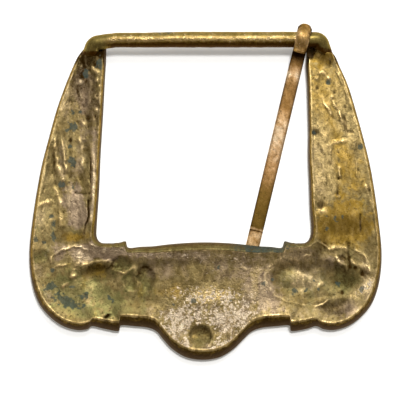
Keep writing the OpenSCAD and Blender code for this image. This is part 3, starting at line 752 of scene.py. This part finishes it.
def bar_mesh():
    """Loops of points round the bar, from the left arm to the right one, and their masks."""
    path = np.vstack([(half_bar(LEFT_RUNS) * [-1, 1, 1])[:0:-1], half_bar(RIGHT_RUNS)])
    # A little thicker to the right, with its near side straight
    mean = BAR_R - 0.06 + 0.11 * smooth((path[:, 0] + 15) / 10)
    path[:, 1] += (mean - BAR_R) * smooth((23 - np.abs(path[:, 0])) / 2)
    x = path[:, :1]
    radius = mean[:, None] + 0.04 * noise(x, 2 * ANGLES, 2.2, BAR + 1)
    radius = radius + 0.025 * noise(0.4 * x, 3 * ANGLES, 0.5, BAR + 2)
    radius = radius + 0.008 * noise(x, 2 * ANGLES, 0.4, BAR + 4)
    points = tube(path, radius)
    blotch = noise(x, 3 * ANGLES, 0.9, BAR + 3)
    # Painted shade: the bar is painted golden brown from its middle towards the window and dark on the side
    # towards the window, and dull on the side beyond it
    side = np.sin(ANGLES)
    near = smooth(side / 0.45 + 0.2 * blotch)
    far = smooth((-0.38 - side + 0.1 * blotch) / 0.3)
    end = smooth((np.abs(x) - 21) / 3)
    brown = smooth((side + 0.1 + 0.15 * blotch) / 0.3) * (1 - end) * between(0.5, 1, smooth((x + 20) / 8))
    # Painted shade where the ends sink into the plate; the near side's painted shade fades on the left end
    # and on the right one past the loop
    sunk_shade = end * smooth((0.9 - crease(x) - points[..., 1]) / 0.6)
    unshaded = np.where(x > 0, smooth((x - 25.6) / 1.4), end)
    # The worn colour and the sparkle stand mostly in a band between the shaded sides: a painted highlight,
    # weaker on the ends
    wear_and_highlight = (0.75 + 0.6 * blotch) * (1 - 0.8 * end) * (1 - 0.9 * near) * (1 - 0.6 * brown) * (1 - 0.7 * far)
    dark = np.maximum(0.85 * near, 0.7 * brown) * (1 - 0.75 * unshaded)
    grime_and_shade = 0.05 + dark + 0.25 * far + 0.8 * sunk_shade
    green = 0.9 * np.exp(-(((x + 9.5) / 3) ** 2)) * smooth((-0.55 - side) / 0.3) * (0.6 + blotch)
    olive = 0.8 * end + 0.6 * far
    sparkle = 0.4 * (1 - end) * (1 - near)
    return points, masks(blotch.shape, wear_and_highlight, grime_and_shade, green, 0.5 - 0.35 * brown, olive, sparkle)


# The middle line of the prong seen from the side: distance from the bar, height
BLADE_Z = BAR_Z - LOOP_R - PRONG_T / 2
TIP_MID = 0.1 + PRONG_T / 2
BLADE = np.array([
    [0.0, BLADE_Z], [3.0, BLADE_Z], [8.0, BLADE_Z - 0.35], [20.0, BLADE_Z - 0.75],
    [34.0, BLADE_Z - 1.35], [44.6, TIP_MID + 0.02], [46.0, TIP_MID], [51.0, TIP_MID],
])
# Length of the rounding at the blade's tip
TIP_ROUND = 1.5
# Angles of the loop's cut end and of the blade's start, from the far side of the bar over its top
LOOP_END = 174
BLADE_START = -90
# Steps round the loop and along the blade
LOOP_STEPS = 64
BLADE_STEPS = 150
# The loop's far side bulges this much and is this wide
LOOP_BULGE = 0.25
LOOP_HALF_W = 1.65
# Tones round the loop, darker on its far side, with a painted highlight from its top to its cut end.
# Columns: angle, as for the loop's end, worn, grime, pink, olive
LOOP_TONES = np.array([
    [-90, 0.1, 0.5, 0, 0.3], [15, 0.1, 0.5, -0.2, 0.5], [50, 0.25, 0.35, -0.3, 0.4],
    [85, 0.4, 0.15, -0.5, 0.15], [115, 0.5, 0.15, -0.5, 0.1], [174, 0.4, 0.2, -0.4, 0.1],
])
# Tones along the blade: painted shadow under the loop's cut end, painted highlights in bands along it,
# painted shade before the bend, a painted highlight and shade at the bend and a painted highlight past it.
# Columns: distance from the bar, worn, grime, pink, olive
BLADE_TONES = np.array([
    [0, 0, 1.2, 0, 0.3], [3.2, 0, 1.2, 0, 0.3], [4.5, 0.1, 0.6, 0.1, 0.1], [5.5, 0.15, 0.45, 0.3, 0],
    [8.2, 1, 0, 1, 0], [10.5, 0.1, 0.5, 0.3, 0], [16, 0.2, 0.2, 0.3, 0], [20.5, 0.7, 0, 1, 0],
    [24, 0.6, 0, 1, 0], [29, 0.3, 0.1, 0.8, 0], [36, 0.1, 0.2, 0.1, 0.6], [44, 0.05, 0.4, 0, 1],
    [44.5, 0.8, 0, 0.5, 0.3], [44.9, 0.1, 0.9, 0, 0.3], [45.5, 0.6, 0, 0.3, 0], [51, 0.6, 0, 0.3, 0],
])


def tones_at(table, place):
    """Wear and painted highlight, dirt and painted shade, pink and olive at a place between the rows of a
    table of tones.
    """
    return [np.interp(place, table[:, 0], column) for column in table.T[1:]]


def rounded(wave, power):
    """A wave with its tops flattened, for a cross-section with rounded edges."""
    return np.sign(wave) * np.abs(wave) ** power


def prong_mesh():
    """Loops of points round the strip, from the loop's cut end to the blade's tip, and their masks."""
    mid_r = LOOP_R + PRONG_T / 2
    centre, normal, half_w, crown, tone = [], [], [], [], []
    # The loop runs over the top and round to the bottom. Its far side is round, the rest slightly domed
    for a in np.radians(np.linspace(LOOP_END, BLADE_START, LOOP_STEPS)):
        far = smooth(math.cos(a))
        below = smooth(-math.sin(a))
        centre.append([(mid_r + LOOP_BULGE * far) * math.cos(a), BAR_Z + mid_r * math.sin(a)])
        normal.append([math.cos(a), math.sin(a)])
        half_w.append(between(PRONG_W / 2, LOOP_HALF_W, far))
        crown.append((0.25 + far) * (1 - below))
        tone.append(tones_at(LOOP_TONES, math.degrees(a)))
    reach = BLADE[-1, 0]
    for u in np.linspace(0.4, reach, BLADE_STEPS):
        z, ahead, behind = (np.interp(at, BLADE[:, 0], BLADE[:, 1]) for at in (u, u + 1, u - 1))
        centre.append([-u, z])
        normal.append([(behind - ahead) / 2, -1])
        end = max(0.0, u - (reach - TIP_ROUND))
        half_w.append(PRONG_W / 2 * math.sqrt(max(0.02, 1 - (end / TIP_ROUND) ** 2)))
        crown.append(0.0)
        tone.append(tones_at(BLADE_TONES, u))
    centre, normal, tone = np.array(centre), np.array(normal), np.array(tone)
    normal /= lengths(normal)
    across = rounded(np.cos(ANGLES), 0.5)
    through = rounded(np.sin(ANGLES), 0.7)
    # The loop's outer face is domed
    dome = 1 - np.sqrt(1 - np.minimum(across**2, 1))
    loops = []
    for c, n, w, bulge in zip(centre, normal, half_w, crown):
        outward = through * PRONG_T / 2 - bulge * np.where(through > 0, dome, 0.25 * dome)
        loops.append(np.column_stack([across * w, c[0] + n[0] * outward, c[1] + n[1] * outward]))
    points = np.array(loops)
    # The loop's end is cut at a slant
    points[0, :, 1:] -= (np.clip(points[0, :, :1] + 1.2, 0, 2) * 0.12) * np.array([[0.2, 1.0]])
    x, y = (points[..., k].copy() for k in (0, 1))
    c, s = math.cos(-PRONG_SKEW), math.sin(-PRONG_SKEW)
    points[..., 0] = LOOP_X + x * c - y * s
    points[..., 1] = LOOP_LIFT + x * s + y * c
    wear_and_highlight, grime_and_shade, pink, olive = (tone[:, k : k + 1] for k in range(tone.shape[1]))
    along = way_along(centre)
    blotch = noise(x, along, 1.6, PRONG + 1) + 0.6 * noise(x, along, 0.6, PRONG + 2)
    side = np.abs(across)
    domed = smooth(np.array(crown)[:, None] / 0.4)
    sparkle = 0.35 * domed * smooth(wear_and_highlight / 0.5)
    wear_and_highlight = wear_and_highlight + 0.7 * blotch * wear_and_highlight
    # Darker along both edges, and painted shade on the sides of the domed loop
    grime_and_shade = grime_and_shade + 0.8 * smooth((side - 0.88) / 0.12) - 0.15 * blotch
    grime_and_shade += 0.4 * domed * smooth((side - 0.4) / 0.5)
    blush = 0.5 + 0.5 * pink * (1 + 0.5 * blotch)
    return points, masks(blotch.shape, wear_and_highlight, grime_and_shade, 0, blush, olive, sparkle)


# Sockets of the node that mixes two colours, and of the same node for two numbers
COLOUR_A, COLOUR_B, COLOUR_OUT = 6, 7, 2
NUMBER_A, NUMBER_B, NUMBER_OUT = 2, 3, 0


def node(tree, kind, inputs, **settings):
    """A new shader node. Inputs are given by name or place, each as a value or a socket to link."""
    n = tree.nodes.new("ShaderNode" + kind)
    for key, value in settings.items():
        setattr(n, key, value)
    for key, value in inputs.items():
        if isinstance(value, bpy.types.NodeSocket):
            tree.links.new(value, n.inputs[key])
        else:
            n.inputs[key].default_value = value
    return n


def linear(r, g, b):
    """A colour given by its values on the screen, 0 to 255."""

    def one(c):
        c /= 255
        return c / 12.92 if c <= 0.04045 else ((c + 0.055) / 1.055) ** 2.4

    return one(r), one(g), one(b), 1.0


def mixed(tree, factor, a, b):
    """Colour b over colour a, where each may be a colour or a socket."""
    inputs = {0: factor, COLOUR_A: a, COLOUR_B: b}
    return node(tree, "Mix", inputs, data_type="RGBA").outputs[COLOUR_OUT]


def spread(tree, mask, texture, swing, low, high, top=1.0):
    """The mask with its edges broken up by a texture: 0 below low and the top value above high."""
    shifted = node(tree, "Math", {0: texture, 1: swing, 2: mask}, operation="MULTIPLY_ADD").outputs[0]
    limits = {"From Min": low + swing / 2, "From Max": high + swing / 2, "To Max": top}
    out = node(tree, "MapRange", {"Value": shifted, **limits}, interpolation_type="SMOOTHSTEP")
    return out.outputs["Result"]


# Colours that all the metals share
GOLDEN, GLINT, VERDIGRIS = linear(178, 142, 56), linear(244, 222, 190), linear(64, 77, 71)


def metal(name, gloss, grain_height, *colours):
    """Old cast or rolled metal. The mesh's masks say where it has wear or painted highlights, dirt or
    painted shade, and where it is green.
    """
    dark, base, olive_tint, pink_tint, grime_and_shade_tint, wear_and_highlight_tint = (linear(*rgb) for rgb in colours)
    mat = bpy.data.materials.new(name)
    mat.use_nodes = True
    tree = mat.node_tree
    bsdf = tree.nodes["Principled BSDF"].inputs
    place = node(tree, "TexCoord", {}).outputs["Object"]

    def texture(per_mm, detail=4.0, along=1.0, distortion=0.0):
        stretched = node(tree, "VectorMath", {0: place, 1: (1.0, along, 1.0)}, operation="MULTIPLY")
        look = {"Scale": per_mm / MM, "Detail": detail, "Roughness": 0.6, "Distortion": distortion}
        return node(tree, "TexNoise", {"Vector": stretched.outputs[0], **look}).outputs["Fac"]

    def channels(label):
        read = node(tree, "Attribute", {}, attribute_name=label)
        return node(tree, "SeparateColor", {0: read.outputs["Color"]}).outputs

    def number(factor, low, high, start=0.0, stop=1.0):
        inputs = {"Value": factor, "From Min": start, "From Max": stop, "To Min": low, "To Max": high}
        return node(tree, "MapRange", inputs).outputs["Result"]

    def number_mix(factor, a, b):
        inputs = {0: factor, NUMBER_A: a, NUMBER_B: b}
        return node(tree, "Mix", inputs, data_type="FLOAT").outputs[NUMBER_OUT]

    wear_and_highlight, grime_and_shade, green = channels("finish_and_painted_light")
    blush, olive, sparkle = channels("tone")
    pink, golden = number(blush, 0, 1, 0.5, 1), number(blush, 1, 0, 0, 0.5)
    large, medium = texture(0.22), texture(0.9)
    fine, grit = texture(2.6, detail=3), texture(6.5, detail=2)
    streaks = texture(0.8, detail=5, along=0.55, distortion=0.8)
    specks = texture(1.5, detail=5, distortion=0.6)
    pits = texture(1.7, detail=2)

    colour = mixed(tree, spread(tree, medium, large, 1, 0.3, 0.7), dark, base)
    for mask, tint in ((olive, olive_tint), (golden, GOLDEN), (pink, pink_tint)):
        colour = mixed(tree, spread(tree, mask, medium, 0.8, 0.1, 0.8, 0.9), colour, tint)
    # The grime colour paints real grime and, where the masks ask for it, painted shade
    grime_and_shade_mask = spread(tree, grime_and_shade, fine, 0.9, 0.1, 0.95)
    colour = mixed(tree, grime_and_shade_mask, colour, grime_and_shade_tint)
    # The worn colour paints real wear and, on the bar and the prong, painted highlights
    bright = spread(tree, wear_and_highlight, streaks, 0.9, 0.1, 1.1)
    colour = mixed(tree, bright, colour, mixed(tree, number(pink, 0, 0.6), wear_and_highlight_tint, GLINT))
    colour = mixed(tree, spread(tree, sparkle, specks, 3, 0.68, 1.08), colour, GLINT)
    stained = spread(tree, green, fine, 1.4, 0.25, 0.95, 0.8)
    colour = mixed(tree, stained, colour, VERDIGRIS)
    # The textures shade the colour, and the pits only darken it
    shades = [number(each, 0.84, 1.16, 0.35, 0.65) for each in (streaks, fine, grit)]
    for shade in (*shades, number(pits, 1, 0.7, 0.6, 0.68)):
        inputs = {0: colour, "Scale": shade}
        colour = node(tree, "VectorMath", inputs, operation="SCALE").outputs[0]
    tree.links.new(colour, bsdf["Base Color"])

    metallic = number_mix(grime_and_shade_mask, number(bright, 0.82, 0.9), 0.5)
    bsdf["Specular IOR Level"].default_value = 0.1
    bsdf["Specular Tint"].default_value = (0.8, 0.6, 0.3, 1)
    tree.links.new(number_mix(stained, metallic, 0.2), bsdf["Metallic"])
    tree.links.new(number_mix(stained, number(bright, gloss + 0.12, gloss), 0.7), bsdf["Roughness"])

    rise, holes = number(sparkle, grain_height, 8), number(pits, 0, -1, 0.6, 0.7)
    grain = node(tree, "Math", {0: fine, 1: rise, 2: holes}, operation="MULTIPLY_ADD").outputs[0]
    bump = node(tree, "Bump", {"Distance": 0.03 * MM, "Height": grain})
    tree.links.new(bump.outputs["Normal"], bsdf["Normal"])
    return mat


# Columns: name, gloss, height of the grain, and the colours dark, base, olive, pink, grime and painted
# shade, and wear and painted highlight
METALS = [
    ("cast_brass", 0.34, 1.1,
     (132, 113, 68), (160, 140, 92), (138, 132, 80), (172, 148, 122), (52, 34, 5), (240, 208, 142)),
    ("bar_brass", 0.26, 0.8,
     (156, 128, 62), (176, 146, 74), (142, 126, 70), (206, 176, 130), (64, 38, 4), (216, 186, 126)),
    ("bronze_strip", 0.34, 0.7,
     (156, 116, 62), (174, 132, 76), (132, 104, 42), (196, 150, 96), (60, 38, 16), (236, 196, 140)),
]
brass, bar_brass, bronze = (metal(*row) for row in METALS)

casting = swept("casting", *casting_mesh(), brass)
bar = swept("bar", *bar_mesh(), bar_brass)
prong = swept("prong_strip", *prong_mesh(), bronze)
for piece, body, cad_node, slot in (
    (casting, "casting", "buckle_frame", "cast_brass"),
    (bar, "casting", "buckle_frame", "cast_brass"),
    (prong, "prong", "prong", "bronze_strip"),
):
    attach(piece, body)
    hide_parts(cad_node)

# The floor is white paper, half a side from the part's middle to its edge in metres
HALF_SIDE = 1.5
CORNERS = [(x * HALF_SIDE, y * HALF_SIDE, 0) for x, y in ((-1, -1), (1, -1), (1, 1), (-1, 1))]
floor_mesh = bpy.data.meshes.new("floor")
floor_mesh.from_pydata(CORNERS, [], [[0, 1, 2, 3]])
floor = placed("floor", floor_mesh)
paper = bpy.data.materials.new("floor")
paper.use_nodes = True
for key, value in (
    ("Base Color", (0.92, 0.92, 0.91, 1)),
    ("Emission Color", (0.97, 0.99, 0.97, 1)),
    ("Emission Strength", 0.2),
    ("Roughness", 0.9),
    ("Specular IOR Level", 0.1),
):
    paper.node_tree.nodes["Principled BSDF"].inputs[key].default_value = value
floor_mesh.materials.append(paper)


def area_light(name, tilt, distance, size, power):
    """A square light above the part, tilted from the vertical towards +Y and a little towards +X."""
    data = bpy.data.lights.new(name, "AREA")
    data.size = size
    data.energy = power
    light = placed(name, data)
    light.location = (0.1 * distance, distance * math.sin(tilt), distance * math.cos(tilt))
    light.rotation_euler = light.location.to_track_quat("Z", "Y").to_euler()
    return light


# The ceiling light is matt light only, so that the flat back doesn't mirror it
ceiling = area_light("ceiling", tilt=math.radians(9), distance=0.7, size=0.09, power=3.3)
ceiling.visible_glossy = False
area_light("window", tilt=math.radians(29), distance=0.5, size=0.12, power=0.75)

# The room, brightest beyond the part at 42 degrees from the vertical, and brown behind the viewer.
# Columns: cosine of the angle to the brightest place, red, green, blue
BRIGHTEST = (0.05, 0.667, 0.743)
ROOM = [
    (0, 0.08, 0.058, 0.038), (0.545, 0.17, 0.14, 0.11), (0.743, 0.33, 0.32, 0.31),
    (0.89, 0.64, 0.64, 0.64), (1, 1, 1, 1),
]
world = bpy.data.worlds.new("studio")
bpy.context.scene.world = world
world.use_nodes = True
sky = world.node_tree
way = node(sky, "TexCoord", {}).outputs["Generated"]
facing = node(sky, "VectorMath", {0: way, 1: BRIGHTEST}, operation="DOT_PRODUCT").outputs["Value"]
shade = node(sky, "ValToRGB", {"Fac": facing})
while len(shade.color_ramp.elements) < len(ROOM):
    shade.color_ramp.elements.new(0.5)
for stop, (position, *rgb) in zip(shade.color_ramp.elements, ROOM):
    stop.position = position
    stop.color = (*rgb, 1)
sky.links.new(shade.outputs["Color"], sky.nodes["Background"].inputs["Color"])

# The camera looks at this point, in metres, which is a little off the part's middle
TARGET = Vector((-0.00125, -0.00219, 0.003))
ELEVATION = math.radians(82)
DISTANCE = 0.35
VIEW_WIDTH = 0.0909
SENSOR = 36
camera_data = bpy.data.cameras.new("camera")
camera = placed("camera", camera_data)
back = Vector((0, -math.cos(ELEVATION), math.sin(ELEVATION)))
camera.location = TARGET + back * DISTANCE
camera.rotation_euler = (math.pi / 2 - ELEVATION, 0, 0)
camera_data.sensor_width = SENSOR
camera_data.lens = SENSOR * DISTANCE / VIEW_WIDTH
camera_data.clip_start = 0.01
bpy.context.scene.camera = camera
bpy.context.scene.view_settings.view_transform = "Standard"
